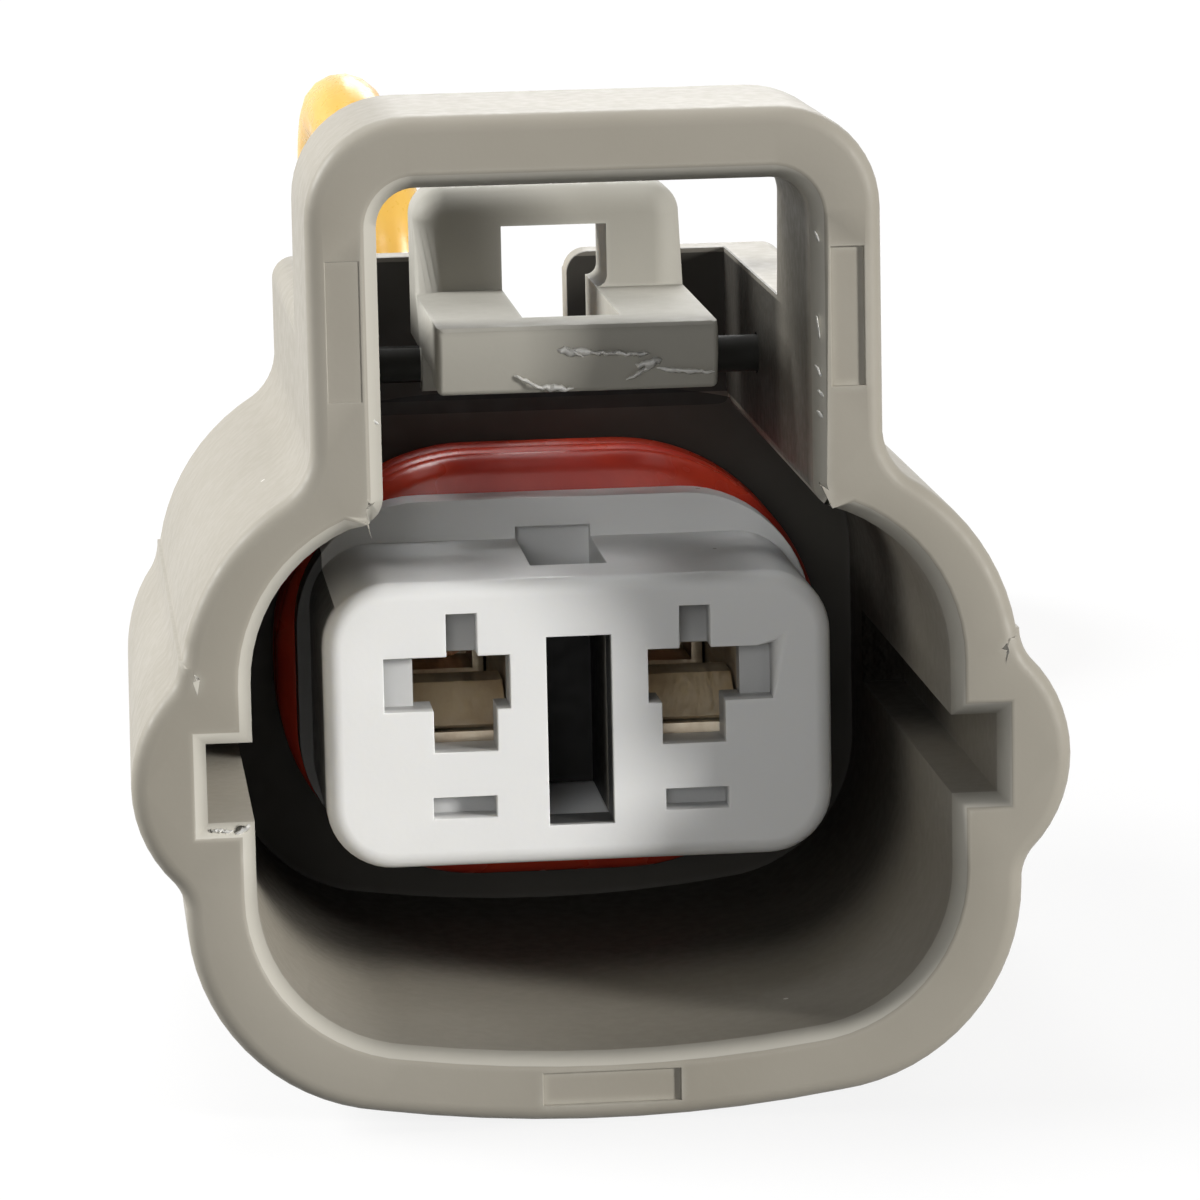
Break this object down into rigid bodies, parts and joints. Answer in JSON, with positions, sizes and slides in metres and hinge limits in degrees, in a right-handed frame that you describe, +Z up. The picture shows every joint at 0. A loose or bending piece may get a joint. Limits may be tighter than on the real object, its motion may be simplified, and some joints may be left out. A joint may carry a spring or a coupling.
{
  "type": "sealed automotive connector",
  "caption": "Sealed two-way female plug: hooded housing with arch and latch lever, front retainer, ribbed ring seal, crimped contacts and coiled wire tails.",
  "frame": {"origin": "under the middle of the plug, on the plane of the hood's lowest point, measured without the free wires", "axes": "-Y is the mating direction, out of the hood's rim; +Y leads back to the wires; +X is to the right seen from the mating side; +Z is up, towards the arch and the lever"},
  "size_m": [0.0251, 0.0657, 0.0209],
  "materials": {
    "housing_plastic": "moulded light grey, satin",
    "retainer_plastic": "moulded off-white, satin",
    "seal_rubber": "moist silicone, dark red",
    "wire_seal_rubber": "silicone, dark red",
    "contact_metal": "tinned brass, dull",
    "conductor_copper": "bare copper strands",
    "wire_orange": "extruded insulation, yellow-orange",
    "wire_brown": "extruded insulation, red-brown"
  },
  "bodies": {
    "plug": {"housing": "housing_plastic", "ring_seal": "seal_rubber", "contact_left": "contact_metal", "contact_right": "contact_metal", "wire_seal_left": "wire_seal_rubber", "wire_seal_right": "wire_seal_rubber", "conductor_left": "conductor_copper", "conductor_right": "conductor_copper", "wire_left": "wire_orange", "wire_right": "wire_brown", "wire_coil_left": "wire_orange", "wire_coil_right": "wire_brown"},
    "lever": {"latch_lever": "housing_plastic"},
    "retainer": {"front_retainer": "retainer_plastic"}
  },
  "joints": [
    {"name": "lever_rock", "type": "hinge", "parent": "plug", "child": "lever", "pos_m": [0, -0.00455, 0.0147], "axis": [-1, 0, 0], "range_deg": [0, 14], "stiffness_Nm_per_rad": 0.3},
    {"name": "retainer_slide", "type": "slide", "parent": "plug", "child": "retainer", "axis": [0, -1, 0], "range_m": [0, 0.001]}
  ]
}
